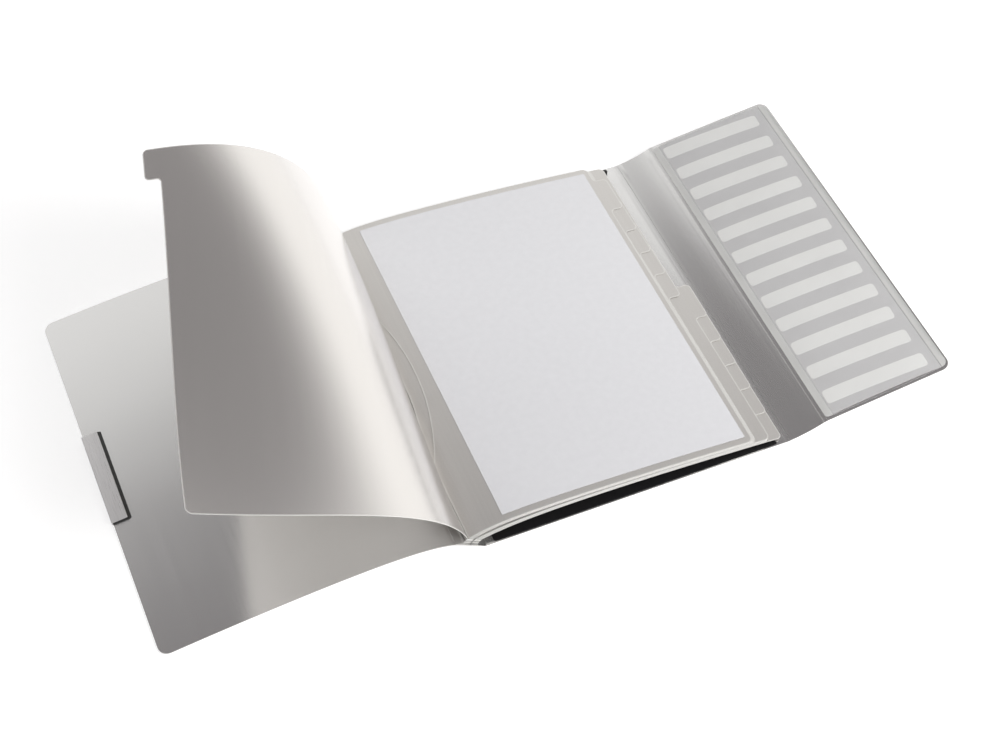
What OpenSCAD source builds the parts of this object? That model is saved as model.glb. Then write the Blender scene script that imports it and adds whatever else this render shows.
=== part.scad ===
// A4 divider book with twelve stepped leaves, lying open with its first leaf half turned.
// X runs from the spine to the fore-edge, Y up the page, Z up from the table.
// The origin is the middle of the back cover's underside.

/* [Covers] */
// Height of the covers, measured along the spine
cover_h = 316; // [305:1:380]
// Width of the back cover between its two creases
back_w = 264; // [262:1:320]
// Width of the spine between its two creases
spine_w = 32; // [27:1:40]
// Reach of the opened front cover from its crease to its fore-edge
front_w = 225; // [185:1:275]
// Thickness of the cover sheet
cover_t = 0.8; // [0.6:0.05:1]
// Radius of the covers' outer corners
corner_r = 8; // [3:1:14]
// Angle of the spine above the table while the book lies open
spine_tilt = 34; // [28:1:42]
// Height of the arch in the opened front cover
cover_arch = 12; // [4:1:15]
// Length over which the front cover springs up from its crease
cover_spring = 25; // [15:1:40]
// Play round the bead of each crease
crease_play = 0.25; // [0.2:0.05:0.4]

/* [Back liner] */
// Thickness of the black liner sheet
liner_t = 0.3; // [0.2:0.05:0.6]
// Distance of the liner from the two creases of the back cover
liner_side_gap = 8; // [4:1:20]
// Distance of the liner from the top and bottom edges
liner_end_gap = 1; // [0.5:0.5:6]
// How far the liner's fore-edge is cut back between its two corners
liner_recess = 10; // [0:1:16]
// Length of the slope from a corner of the liner to the cut-back edge
liner_slope = 17; // [8:1:30]

/* [Clasp] */
// Length of the clasp along the fore-edge
clasp_l = 82; // [50:1:120]
// Width of the clasp's bright plate
clasp_w = 12; // [9:1:16]
// Thickness of the clasp's metal
clasp_t = 0.8; // [0.5:0.1:1.2]
// Width of the clasp's leg under the cover
clasp_leg_w = 7; // [4:0.5:9]
// Height of the black bedding strip
base_t = 2; // [1.2:0.1:3]
// Width of the bedding strip's bevel past the plate
base_bevel = 2.7; // [1:0.1:4]
// Play between the clasp's leg and the cover
clasp_play = 0.1; // [0.05:0.05:0.3]

/* [Edge flap] */
// Width of the fore-edge strip
strip_w = 34.5; // [28:0.5:42]
// Slope of the strip at the back cover's crease
strip_lift = 8; // [4:1:14]
// Angle through which the strip curves up
strip_bend = 24; // [10:1:34]
// Width of the flap
flap_w = 115; // [104:1:140]
// Slope of the flap
flap_tilt = 10; // [4:1:16]

/* [Index pocket] */
// Thickness of the clear film
film_t = 0.25; // [0.15:0.05:0.4]
// Distance of the film from the flap's long sides
film_side_gap = 1.5; // [1:0.5:3]
// Distance of the film from the flap's top and bottom edges
film_end_gap = 3; // [1:0.5:8]
// Width of each weld seam
weld_w = 2; // [1:0.5:4]
// Height of the bow in the film
film_bow = 2.2; // [2.1:0.1:4]
// Thickness of the index card
card_t = 0.25; // [0.15:0.05:0.25]
// Distance of the card from each weld seam
card_side_gap = 4.5; // [4.5:0.5:12]
// Play between the labels and the film
card_play = 0.1; // [0.05:0.05:0.15]
// Length of a title label across the flap
label_l = 91; // [40:1:92]
// Height of a title label
label_h = 13; // [6:0.5:18]
// Thickness of a title label
label_t = 0.08; // [0.05:0.01:0.1]
// Corner radius of a title label
label_r = 3; // [1:0.5:3]

/* [Divider leaves] */
// Width of a leaf from its bound edge to its fore-edge
leaf_w = 240; // [215:1:240]
// Extra width of the lying leaves of the upper group
upper_extra = 4; // [0:0.5:4]
// Distance of the lower group's tabs, trimmed flush, from the edge strip's crease
lower_inset = 4; // [4:0.5:12]
// Width of a tab past the fore-edge
tab_w = 12; // [8:1:12]
// Length of a tab that lies under the tab above it
tab_lap = 10; // [0:1:12]
// Thickness of a leaf
leaf_t = 0.4; // [0.3:0.02:0.42]
// Distance of the leaves from the covers' top and bottom edges
leaf_end_gap = 4; // [2:0.5:10]
// Corner radius of a leaf
leaf_r = 5; // [2:0.5:8]
// Corner radius of a tab
tab_r = 4; // [1:0.5:5]
// Radius in the root of a tab
root_r = 3; // [1:0.5:5]
// Length of the half-moon cut in the bound edge
moon_l = 126; // [60:1:160]
// Depth of the half-moon cut
moon_d = 9; // [4:0.5:12]
// Spacing of the leaves along the spine
leaf_pitch = 1.2; // [1.15:0.05:1.4]
// Distance of the last leaf from the back crease along the spine
first_leaf_s = 4; // [3.5:0.5:6]
// Extra distance between the two groups of leaves
group_gap = 1.2; // [1:0.2:3]
// Height of the bound edges over the middle of the spine sheet
leaf_stand = 3; // [2.6:0.1:4]
// Play between a leaf's bound edge and its binding
bound_play = 0.15; // [0.1:0.05:0.3]
// Play between a binding strip and the spine
binding_play = 0.4; // [0.35:0.05:0.5]
// Height of the last leaf's fore-edge above the table
fore_z = 2.8; // [2.5:0.1:6]
// Spacing of the leaves at their fore-edges
fore_pitch = 0.8; // [0.75:0.05:1]
// Extra height of the upper group's fore-edges over the wider lower group
group_step = 1.2; // [1:0.1:3]
// Rise of the lower group of leaves between its two edges
lower_rise = 10; // [6:0.5:12]
// Length over which the lower group springs up from the binding
lower_spring = 30; // [20:1:40]
// Rise of the upper group of leaves between its two edges
upper_rise = 10.6; // [7:0.2:13]
// Length over which the upper group springs up from the binding
upper_spring = 18; // [12:1:30]

/* [Turned leaf] */
// Slope of the turned leaf at the near end of its bound edge
near_start = 110; // [95:1:125]
// Slope of the turned leaf half way up its bound edge
mid_start = 74; // [72:1:110]
// Slope of the turned leaf at the far end of its bound edge
far_start = 75; // [72:1:110]
// Angle through which the near edge curls
near_turn = 51; // [30:1:60]
// Angle through which the middle of the leaf curls
mid_turn = 95; // [50:1:100]
// Angle through which the far edge curls
far_turn = 93; // [50:1:100]
// How much of the curl lies towards the bound edge at the near end
near_ease = 3.6; // [1.1:0.1:4]
// How much of the curl lies towards the bound edge at the far end
far_ease = 1.4; // [1.1:0.1:4]
// Drift of the near fore-edge corner up the page
near_drift = 27; // [-20:1:40]
// Drift of the far fore-edge corner up the page
far_drift = -10; // [-20:1:40]

/* [Loose sheet] */
// Width of the loose sheet
paper_w = 210; // [148:1:210]
// Length of the loose sheet
paper_l = 297; // [210:1:297]
// Thickness of the loose sheet
paper_t = 0.15; // [0.1:0.05:0.3]
// Distance of the loose sheet from the bound edge of its leaf
paper_gap = 29; // [20:1:30]
// Height of the loose sheet over its leaf
paper_play = 0.2; // [0.15:0.05:0.4]

/* [Hidden] */
$fn = 48;
leaf_count = 12;
last_upper = 6;
binding_bead_r = 0.5;
binding_head = 0.3;
binding_foot = 0.4;
bead_share = 0.9;
overrun = 1;
cut_h = 200;
ease = 1.3;
film_power = 3;
arc_steps = 14;
sheet_steps = 22;
curl_steps = 24;
curl_cols = 22;

spine_x = -back_w / 2;
mid_z = cover_t / 2;
half_h = cover_h / 2;
bead_r = bead_share * mid_z;
groove_r = mid_z + crease_play;
leaf_h = cover_h - 2 * leaf_end_gap;
tab_h = leaf_h / leaf_count;
leaf_run = leaf_w + tab_w;
leaf_y = -leaf_h / 2;
moon_r = (pow(moon_l / 2, 2) + pow(moon_d, 2)) / (2 * moon_d);

spine_dir = [-cos(spine_tilt), sin(spine_tilt)];
spine_normal = [sin(spine_tilt), cos(spine_tilt)];
front_hinge = [0, mid_z] + spine_w * spine_dir;

// The clasp sits square to the cover's fore-edge, and its leg carries that edge off the table.
fore_slope = atan(front_hinge.y / front_w + cover_arch * ease * PI / 2 / front_w);
clasp_lip = clasp_t + clasp_play;
clasp_drop = mid_z + clasp_play + clasp_t;
fore_edge_z = clasp_lip * sin(fore_slope) + clasp_drop * cos(fore_slope);

strip_r = strip_w / (strip_bend * PI / 180);
flap_hinge = strip_point(1);

film_l = flap_w - 2 * film_side_gap;
film_span = film_l - 2 * weld_w;
card_x = film_side_gap + weld_w + card_side_gap;
card_w = film_span - 2 * card_side_gap;
card_drop = film_t / 2 + card_play + label_t + card_t / 2;
label_pitch = (cover_h - 2 * film_end_gap) / leaf_count;

paper_side = leaf_t / 2 + paper_play + paper_t / 2;

// A sprung sheet lifts off its crease within a short length, then falls away to its free edge.
function sprung(u, run, spring) = (1 - exp(-u / spring)) * cos(90 * pow(u / run, ease));

// Middle line of a sprung sheet as [distance from the crease, height]
function sprung_at(u, run, z0, z1, rise, spring) =
  [u, z0 + (z1 - z0) * u / run + rise * sprung(u, run, spring)];
function sprung_line(run, z0, z1, rise, spring) =
  [for (i = [0 : sheet_steps]) sprung_at(run * pow(i / sheet_steps, 1.5), run, z0, z1, rise, spring)];

function reversed(line) = [for (i = [len(line) - 1 : -1 : 0]) line[i]];
function side_of(line, i) =
  let (step = line[min(i + 1, len(line) - 1)] - line[max(i - 1, 0)])
  [-step.y, step.x] / norm(step);
function shifted(line, d) = [for (i = [0 : len(line) - 1]) line[i] + d * side_of(line, i)];
// Closed outline of the band between two distances from a line
function band(line, d0, d1) = concat(shifted(line, d0), reversed(shifted(line, d1)));
function ribbon(line, t) = band(line, -t / 2, t / 2);

// Middle line of the edge strip, from the back cover's crease to the flap's crease
function strip_point(share) =
  let (slope = strip_lift + share * strip_bend)
  [back_w + strip_r * (sin(slope) - sin(strip_lift)), mid_z + strip_r * (cos(strip_lift) - cos(slope))];

// Place of a leaf's bound edge on the spine
function leaf_s(k) =
  first_leaf_s + (leaf_count - k) * leaf_pitch + (k <= last_upper ? group_gap : 0);
function spine_point(s, stand) = [0, mid_z] + s * spine_dir + stand * spine_normal;
function bound_edge(k) = spine_point(leaf_s(k), leaf_stand);
function page_w(k) =
  k == 1 ? leaf_w
  : k <= last_upper ? leaf_w + upper_extra
  : back_w - lower_inset - tab_w - bound_edge(k).x;
function page_run(k) = page_w(k) + tab_w;
function rise_of(k) = k <= last_upper ? upper_rise : lower_rise;
function spring_of(k) = k <= last_upper ? upper_spring : lower_spring;
function fore_z_of(k) = fore_z + (leaf_count - k) * fore_pitch + (k <= last_upper ? group_step : 0);
function leaf_at(k, u) =
  [bound_edge(k).x, 0]
  + sprung_at(u, page_run(k), bound_edge(k).y, fore_z_of(k), rise_of(k), spring_of(k));
function leaf_line(k) = [for (i = [0 : sheet_steps]) leaf_at(k, page_run(k) * pow(i / sheet_steps, 1.5))];

// Middle line of the film over the flap: flat on the two weld seams, bowed between them
function film_z(x) =
  let (share = (x - film_side_gap - weld_w) / film_span, side = min(abs(2 * share - 1), 1))
  mid_z + film_t / 2 + film_bow * (1 - pow(side, film_power));
film_line = [for (x = concat(
  [film_side_gap],
  [for (i = [0 : arc_steps]) film_side_gap + weld_w + film_span * i / arc_steps],
  [flap_w - film_side_gap])) [x, film_z(x)]];
card_line = [for (i = [0 : arc_steps])
  let (x = card_x + card_w * i / arc_steps) [x, film_z(x) - card_drop]];

// The turned leaf: slope of its section at a share of the width, on a row at a share of the height
function through(near, mid, far, row) =
  near + row * (far - near) + (4 * mid - 2 * near - 2 * far) * row * (1 - row);
function curl_slope(share, row) =
  through(near_start, mid_start, far_start, row)
  + through(near_turn, mid_turn, far_turn, row)
  * (1 - pow(1 - min(share, 1), near_ease + row * (far_ease - near_ease)));
function curl_xz(u, row) =
  let (ones = [for (i = [1 : curl_steps]) 1])
  u / curl_steps * (ones * [for (i = [1 : curl_steps])
    let (slope = curl_slope((i - 0.5) / curl_steps * u / leaf_run, row)) [cos(slope), sin(slope)]]);
function curl_point(u, v, side) =
  let (row = v / leaf_h, share = u / leaf_run, slope = curl_slope(share, row))
  let (flat = bound_edge(1) + curl_xz(u, row) + side * [sin(slope), -cos(slope)])
  [spine_x + flat.x, leaf_y + v + (near_drift + row * (far_drift - near_drift)) * share * share, flat.y];

// Plan of the turned leaf: where a row starts beside the half-moon and where it ends at the fore-edge
function rounding(d, r) = d < r ? r - sqrt(r * r - pow(r - d, 2)) : 0;
function smooth(x) = let (s = min(max(x, 0), 1)) s * s * (3 - 2 * s);
function row_start(v) =
  let (d = v - leaf_h / 2) abs(d) < moon_l / 2 ? sqrt(moon_r * moon_r - d * d) - moon_r + moon_d : 0;
function row_end(v) =
  let (step = (v - leaf_h + tab_h) / (root_r + tab_r) + 0.5)
  leaf_w + tab_w * smooth(step) - rounding(v, leaf_r) - rounding(leaf_h - v, tab_r);
function spread(a, b, n) = [for (i = [1 : n]) a + (b - a) * i / n];
tab_foot = leaf_h - tab_h - (root_r + tab_r) / 2;
tab_rise = tab_foot + root_r + tab_r;
curl_rows = concat(
  [for (a = [0 : 18 : 90]) leaf_r * (1 - cos(a))],
  spread(leaf_r, tab_foot, 18), spread(tab_foot, tab_rise, 7), spread(tab_rise, leaf_h - tab_r, 2),
  [for (a = [18 : 18 : 90]) leaf_h - tab_r * (1 - sin(a))]);

// Flat shapes

// The area between a square corner at the origin and the arc that rounds it
module corner_web(r) {
  difference() {
    translate([-0.01, -0.01]) square(r + 0.01);
    translate([r, r]) circle(r);
  }
}

// A rectangle with its two corners at the far X side rounded
module tongue(x0, x1, y0, y1, r) {
  difference() {
    translate([x0, y0]) square([x1 - x0, y1 - y0]);
    translate([x1, y0]) mirror([1, 0]) corner_web(r);
    translate([x1, y1]) rotate(180) corner_web(r);
  }
}

module rounded_bar(l, h, r) {
  difference() {
    square([l, h], center = true);
    for (sx = [0, 1], sy = [0, 1])
      mirror([sx, 0]) mirror([0, sy]) translate([-l / 2, -h / 2]) corner_web(r);
  }
}

// A leaf's plan from its bound edge, with its tab and its half-moon
module leaf_plan(k) {
  w = page_w(k);
  tab_lo = leaf_h - k * tab_h;
  tab_hi = tab_lo + tab_h + tab_lap;
  difference() {
    union() {
      translate([-leaf_t, 0]) square([w + leaf_t, leaf_h]);
      tongue(w - tab_w, page_run(k), tab_lo, tab_hi, tab_r);
      if (k < leaf_count) translate([w, tab_lo]) mirror([0, 1]) corner_web(root_r);
      translate([w, tab_hi]) corner_web(root_r);
    }
    if (k < leaf_count) translate([w, 0]) mirror([1, 0]) corner_web(leaf_r);
    translate([w, leaf_h]) rotate(180) corner_web(leaf_r);
    translate([moon_d - moon_r, leaf_h / 2]) circle(moon_r, $fn = 180);
  }
}

// Placing

// Runs an X-Z outline along Y
module along_y(y0, y1) {
  translate([spine_x, y1, 0]) rotate([90, 0, 0]) linear_extrude(y1 - y0) children();
}

// Keeps what stands over an X-Y outline
module over_plan() {
  translate([spine_x, 0, -1]) linear_extrude(cut_h) children();
}

module flap_frame() {
  translate([spine_x + flap_hinge.x, 0, flap_hinge.y]) rotate([0, -flap_tilt, 0]) children();
}

module in_spine_frame() {
  translate([0, mid_z]) rotate(180 - spine_tilt) children();
}

// Clasp outlines lie along the cover's fore-edge, X inwards and Y off its inner face
module clasp_frame() {
  along_y(-clasp_l / 2, clasp_l / 2)
    translate([front_hinge.x - front_w, fore_edge_z]) rotate(fore_slope) children();
}

// A binding strip between the spine and the bound edges of leaves k0 to k1, with a bead at its top
module binding(k0, k1) {
  s_bead = leaf_s(k0) + binding_head;
  s_foot = leaf_s(k1) - binding_foot;
  foot_n = mid_z + binding_play;
  face_n = leaf_stand - leaf_t / 2 - bound_play;
  along_y(leaf_y, -leaf_y)
    in_spine_frame()
      mirror([0, 1])
        union() {
          translate([s_bead, foot_n + binding_bead_r]) circle(binding_bead_r);
          translate([s_foot, foot_n]) square([s_bead - s_foot, face_n - foot_n]);
        }
}

// A leaf that lies in the stack
module stacked_leaf(k) {
  intersection() {
    along_y(leaf_y - overrun, overrun - leaf_y)
      union() {
        translate(bound_edge(k)) circle(bead_share * leaf_t / 2);
        polygon(ribbon(leaf_line(k), leaf_t));
      }
    over_plan() translate([bound_edge(k).x, leaf_y]) leaf_plan(k);
  }
}

// Sub-parts

module back_cover() {
  color("silver")
    along_y(-half_h, half_h)
      difference() {
        square([back_w, cover_t]);
        translate([0, mid_z]) circle(groove_r);
        translate([back_w, mid_z]) circle(groove_r);
      }
}

// The liner's fore-edge is cut back behind the tabs and comes forward again at its two corners
module back_liner() {
  h = half_h - liner_end_gap;
  fore = back_w - liner_side_gap;
  color("#1c1b1d")
    translate([spine_x, 0, cover_t])
      linear_extrude(liner_t)
        polygon([
          [liner_side_gap, -h], [fore, -h], [fore - liner_recess, liner_slope - h],
          [fore - liner_recess, h - liner_slope], [fore, h], [liner_side_gap, h]]);
}

module spine_panel() {
  color("silver")
    along_y(-half_h, half_h)
      in_spine_frame()
        difference() {
          union() {
            circle(bead_r);
            translate([0, -mid_z]) square([spine_w, cover_t]);
          }
          translate([spine_w, 0]) circle(groove_r);
        }
}

module front_cover() {
  reach = sprung_line(front_w, front_hinge.y, fore_edge_z, cover_arch, cover_spring);
  color("silver")
    intersection() {
      along_y(-half_h - overrun, half_h + overrun)
        translate([front_hinge.x, 0])
          mirror([1, 0])
            union() {
              translate([0, front_hinge.y]) circle(bead_r);
              polygon(ribbon(reach, cover_t));
            }
      over_plan()
        translate([front_hinge.x, 0])
          mirror([1, 0]) tongue(-cover_t, front_w, -half_h, half_h, corner_r);
    }
}

module clasp_plate() {
  top = mid_z + base_t;
  color("lightgray")
    clasp_frame()
      difference() {
        translate([-clasp_lip, -clasp_drop]) square([clasp_lip + clasp_w, clasp_drop + top + clasp_t]);
        translate([-clasp_play, -mid_z - clasp_play]) square([2 * clasp_w, mid_z + clasp_play + top]);
        translate([clasp_leg_w, -2 * clasp_drop]) square([clasp_w, 2 * clasp_drop]);
      }
}

module clasp_base() {
  color("#151515")
    clasp_frame()
      polygon([
        [0, mid_z + clasp_play], [clasp_w + base_bevel, mid_z + clasp_play],
        [clasp_w, mid_z + base_t], [0, mid_z + base_t]
      ]);
}

module edge_strip() {
  line = [for (i = [0 : arc_steps]) strip_point(i / arc_steps)];
  color("silver")
    along_y(-half_h, half_h)
      difference() {
        union() {
          translate([back_w, mid_z]) circle(bead_r);
          polygon(ribbon(line, cover_t));
        }
        translate(flap_hinge) circle(groove_r);
      }
}

module flap_panel() {
  color("silver")
    flap_frame() {
      translate([0, half_h, 0]) rotate([90, 0, 0]) cylinder(h = cover_h, r = bead_r);
      translate([0, 0, -mid_z]) linear_extrude(cover_t) tongue(0, flap_w, -half_h, half_h, corner_r);
    }
}

// Runs an outline in the flap's own X-Z plane along Y, leaving a gap at both ends
module along_flap(gap) {
  translate([0, half_h - gap, 0]) rotate([90, 0, 0]) linear_extrude(cover_h - 2 * gap) children();
}

module pocket_film() {
  color("whitesmoke", 0.3)
    flap_frame() along_flap(film_end_gap) polygon(ribbon(film_line, film_t));
}

module index_card() {
  color("darkgray")
    flap_frame() along_flap(film_end_gap) polygon(ribbon(card_line, card_t));
}

module title_labels() {
  color("white")
    flap_frame()
      intersection() {
        along_flap(film_end_gap) polygon(band(card_line, card_t / 2, card_t / 2 + label_t));
        translate([card_x + card_w / 2, 0, -1])
          linear_extrude(cut_h)
            for (i = [0 : leaf_count - 1])
              translate([0, (i - (leaf_count - 1) / 2) * label_pitch])
                rounded_bar(label_l, label_h, label_r);
      }
}

module upper_binding() {
  color("gainsboro") binding(1, last_upper);
}

module lower_binding() {
  color("gainsboro") binding(last_upper + 1, leaf_count);
}

// The leaf that is being turned: a sheet whose rows curl more towards the far end
module divider_leaf_01() {
  cols = curl_cols + 1;
  rows = len(curl_rows);
  skin = cols * rows;
  points = [for (side = [leaf_t / 2, -leaf_t / 2], v = curl_rows, j = [0 : curl_cols])
    let (u0 = row_start(v), u1 = row_end(v)) curl_point(u0 + (u1 - u0) * j / curl_cols, v, side)];
  outer = [for (i = [0 : rows - 2], j = [0 : curl_cols - 1])
    let (a = i * cols + j, b = a + 1, c = a + cols, d = c + 1)
    each [[a, b, d], [a, d, c]]];
  rim = concat(
    [for (j = [0 : curl_cols]) j],
    [for (i = [1 : rows - 1]) i * cols + curl_cols],
    [for (j = [curl_cols - 1 : -1 : 0]) (rows - 1) * cols + j],
    [for (i = [rows - 2 : -1 : 1]) i * cols]);
  walls = [for (i = [0 : len(rim) - 1])
    let (a = rim[i], b = rim[(i + 1) % len(rim)])
    each [[b, a, a + skin], [b, a + skin, b + skin]]];
  inner = [for (f = outer) [f[2] + skin, f[1] + skin, f[0] + skin]];
  color("silver") polyhedron(points, concat(outer, walls, inner));
}

module divider_leaf_02() {
  color("silver") stacked_leaf(2);
}

module divider_leaf_03() {
  color("silver") stacked_leaf(3);
}

module divider_leaf_04() {
  color("silver") stacked_leaf(4);
}

module divider_leaf_05() {
  color("silver") stacked_leaf(5);
}

module divider_leaf_06() {
  color("silver") stacked_leaf(6);
}

module divider_leaf_07() {
  color("silver") stacked_leaf(7);
}

module divider_leaf_08() {
  color("silver") stacked_leaf(8);
}

module divider_leaf_09() {
  color("silver") stacked_leaf(9);
}

module divider_leaf_10() {
  color("silver") stacked_leaf(10);
}

module divider_leaf_11() {
  color("silver") stacked_leaf(11);
}

module divider_leaf_12() {
  color("silver") stacked_leaf(12);
}

module document_sheet() {
  line = [for (i = [0 : sheet_steps]) leaf_at(2, paper_gap + paper_w * i / sheet_steps)];
  color("white")
    along_y(-paper_l / 2, paper_l / 2)
      polygon(band(line, paper_side - paper_t / 2, paper_side + paper_t / 2));
}

back_cover();
back_liner();
spine_panel();
front_cover();
clasp_plate();
clasp_base();
edge_strip();
flap_panel();
pocket_film();
index_card();
title_labels();
upper_binding();
lower_binding();
divider_leaf_01();
divider_leaf_02();
divider_leaf_03();
divider_leaf_04();
divider_leaf_05();
divider_leaf_06();
divider_leaf_07();
divider_leaf_08();
divider_leaf_09();
divider_leaf_10();
divider_leaf_11();
divider_leaf_12();
document_sheet();
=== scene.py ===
import math

import bpy
import numpy as np
from mathutils import Matrix, Vector
from mathutils.geometry import delaunay_2d_cdt


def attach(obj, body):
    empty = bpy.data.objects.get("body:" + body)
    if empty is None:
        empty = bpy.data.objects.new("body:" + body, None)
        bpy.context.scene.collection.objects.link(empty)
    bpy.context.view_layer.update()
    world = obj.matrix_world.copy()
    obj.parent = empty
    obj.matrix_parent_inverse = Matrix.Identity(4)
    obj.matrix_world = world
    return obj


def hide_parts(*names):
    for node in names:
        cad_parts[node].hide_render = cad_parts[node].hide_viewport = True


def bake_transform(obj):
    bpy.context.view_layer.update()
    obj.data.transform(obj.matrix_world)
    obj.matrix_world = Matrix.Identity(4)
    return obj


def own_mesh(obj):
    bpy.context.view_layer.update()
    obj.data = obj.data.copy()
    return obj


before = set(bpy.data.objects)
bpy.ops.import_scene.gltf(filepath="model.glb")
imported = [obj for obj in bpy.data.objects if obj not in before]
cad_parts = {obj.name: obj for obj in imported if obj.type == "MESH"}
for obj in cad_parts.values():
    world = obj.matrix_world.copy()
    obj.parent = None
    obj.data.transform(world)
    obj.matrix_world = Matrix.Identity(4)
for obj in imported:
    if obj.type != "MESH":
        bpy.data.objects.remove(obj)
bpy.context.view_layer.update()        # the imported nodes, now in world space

scene = bpy.context.scene
scene.view_settings.view_transform = "Standard"
mm = 0.001


# camera: the loose A4 sheet in the picture fixes it

photoCamera = {
    "target": (-57.31, -15.94, 0),  # mm
    "azimuth": -29.6,
    "elevation": 53.78,
    "roll": 7.19,
    "distance": 1377.1,  # mm
    "lens": 61.35,  # mm
    "sensor": 36,  # mm
}


def placeCamera(spec):
    az, el, roll = (math.radians(spec[k]) for k in ("azimuth", "elevation", "roll"))
    right = Vector((math.cos(az), math.sin(az), 0))
    back = Vector((math.sin(az) * math.cos(el), -math.cos(az) * math.cos(el), math.sin(el)))
    up = back.cross(right)
    x = right * math.cos(roll) + up * math.sin(roll)
    y = up * math.cos(roll) - right * math.sin(roll)
    data = bpy.data.cameras.new("photoCamera")
    data.sensor_fit = "HORIZONTAL"
    data.sensor_width = spec["sensor"]
    data.lens = spec["lens"]
    data.clip_end = 20  # m
    camera = bpy.data.objects.new("photoCamera", data)
    scene.collection.objects.link(camera)
    turn = Matrix((x, y, back)).transposed().to_4x4()
    place = Vector(spec["target"]) * mm + back * spec["distance"] * mm
    camera.matrix_world = Matrix.Translation(place) @ turn
    scene.camera = camera


placeCamera(photoCamera)
print("camera set")


# small helpers

def linear(hexColour):
    # sRGB hex to linear, with alpha 1
    parts = [int(hexColour[i:i + 2], 16) / 255 for i in (1, 3, 5)]
    return tuple(c / 12.92 if c <= 0.04045 else ((c + 0.055) / 1.055) ** 2.4 for c in parts) + (1,)


def addNode(tree, kind, inputs=None, stops=None, **settings):
    # an input is a value, a socket or a node, which gives its first output; stops are a ramp's colours
    node = tree.nodes.new(kind)
    for key, value in settings.items():
        setattr(node, key, value)
    for k, (place, shade) in enumerate((stops or {}).items()):
        node.color_ramp.elements[k].position = place
        node.color_ramp.elements[k].color = linear(shade)
    for key, value in (inputs or {}).items():
        if isinstance(value, bpy.types.Node):
            value = value.outputs[0]
        if isinstance(value, bpy.types.NodeSocket):
            tree.links.new(value, node.inputs[key])
        else:
            node.inputs[key].default_value = value
    return node


def newMaterial(name, surface, spec):
    # surface(tree, spec) adds the nodes and gives the last one
    material = bpy.data.materials.new(name)
    material.use_nodes = True
    tree = material.node_tree
    tree.nodes.clear()
    addNode(tree, "ShaderNodeOutputMaterial", {"Surface": surface(tree, spec)})
    return material


# floor, world and lamps

studio = {
    "floorZ": -0.3,  # mm
    "floorSize": 9000,  # mm
    "floorShade": "#f2f2f2",
    "floorGlow": 0.53,  # light that the floor adds for the camera and in reflections
    "level": 1.08,  # strength of the tent's light
    "roof": "#6c696a",
    # panels of the tent: degrees right of straight back, elevation of the top edge in degrees,
    # and how soft that edge is
    "panels": [
        {"azimuth": 1, "top": 58, "edge": (-0.075, 0.005), "shade": "#f6f6f5"},
        {"azimuth": -133, "top": 90, "edge": (-0.07, 0.02), "shade": "#6c696a"},
        {"azimuth": 92, "top": 37, "edge": (-0.32, 0.24), "shade": "#fffefc"},
        {"azimuth": 180, "top": 135, "edge": (-0.88, -0.62), "shade": "#bcbcbd"},
    ],
}


def backdropPaper(tree, spec):
    # even matt white; it takes the shadow, and a little glow keeps it white to the eye
    path = addNode(tree, "ShaderNodeLightPath")
    seen = path.outputs["Is Camera Ray"]
    for ray in ("Is Glossy Ray", "Is Transmission Ray"):
        seen = addNode(tree, "ShaderNodeMath", {0: seen, 1: path.outputs[ray]}, operation="MAXIMUM")
    glow = addNode(tree, "ShaderNodeMath", {0: seen, 1: spec["floorGlow"]}, operation="MULTIPLY")
    matt = addNode(tree, "ShaderNodeBsdfDiffuse", {"Color": linear(spec["floorShade"])})
    light = addNode(tree, "ShaderNodeEmission", {"Color": (1, 1, 1, 1), "Strength": glow})
    return addNode(tree, "ShaderNodeAddShader", {0: matt, 1: light})


def makeFloor(spec):
    half = spec["floorSize"] * mm / 2
    corners = [(x * half, y * half, spec["floorZ"] * mm) for x, y in ((-1, -1), (1, -1), (1, 1), (-1, 1))]
    mesh = bpy.data.meshes.new("backdropFloor")
    mesh.from_pydata(corners, [], [(0, 1, 2, 3)])
    mesh.materials.append(newMaterial("matt white paper backdrop", backdropPaper, spec))
    floor = bpy.data.objects.new("backdropFloor", mesh)
    scene.collection.objects.link(floor)


def makeWorld(spec):
    # a soft tent: white panels behind and at the right, dark roof, dim left, pale front
    world = bpy.data.worlds.new("softTent")
    world.use_nodes = True
    tree = world.node_tree
    tree.nodes.clear()
    coords = addNode(tree, "ShaderNodeTexCoord")
    colour = linear(spec["roof"])
    for panel in spec["panels"]:
        turn, top = math.radians(panel["azimuth"]), math.radians(panel["top"])
        above = (-math.sin(top) * math.sin(turn), -math.sin(top) * math.cos(turn), math.cos(top))
        away = addNode(tree, "ShaderNodeVectorMath", {0: coords.outputs["Generated"], 1: above},
                       operation="DOT_PRODUCT")
        full, none = panel["edge"]
        share = addNode(tree, "ShaderNodeMapRange",
                        {"Value": away.outputs["Value"], "From Min": none, "From Max": full},
                        interpolation_type="SMOOTHSTEP")
        colour = addNode(tree, "ShaderNodeMix", {0: share, 6: colour, 7: linear(panel["shade"])},
                         data_type="RGBA").outputs[2]
    glow = addNode(tree, "ShaderNodeBackground", {"Color": colour, "Strength": spec["level"]})
    addNode(tree, "ShaderNodeOutputWorld", {"Surface": glow})
    scene.world = world


lamps = {  # mm and watts
    "frontSoftbox": {"place": (700, -1000, 1200), "aim": (0, 0, 0), "size": (900, 700), "power": 14},
}


def makeLamps(specs):
    for name, spec in specs.items():
        data = bpy.data.lights.new(name, "AREA")
        data.shape = "RECTANGLE"
        data.size, data.size_y = (s * mm for s in spec["size"])
        data.energy = spec["power"]
        lamp = bpy.data.objects.new(name, data)
        scene.collection.objects.link(lamp)
        place = Vector(spec["place"]) * mm
        lamp.location = place
        lamp.rotation_euler = (place - Vector(spec["aim"]) * mm).to_track_quat("Z", "Y").to_euler()


makeFloor(studio)
makeWorld(studio)
makeLamps(lamps)
print("studio set")


# materials

noiseLow, noiseHigh = 0.3, 0.7  # most of a noise texture lies between these


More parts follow.
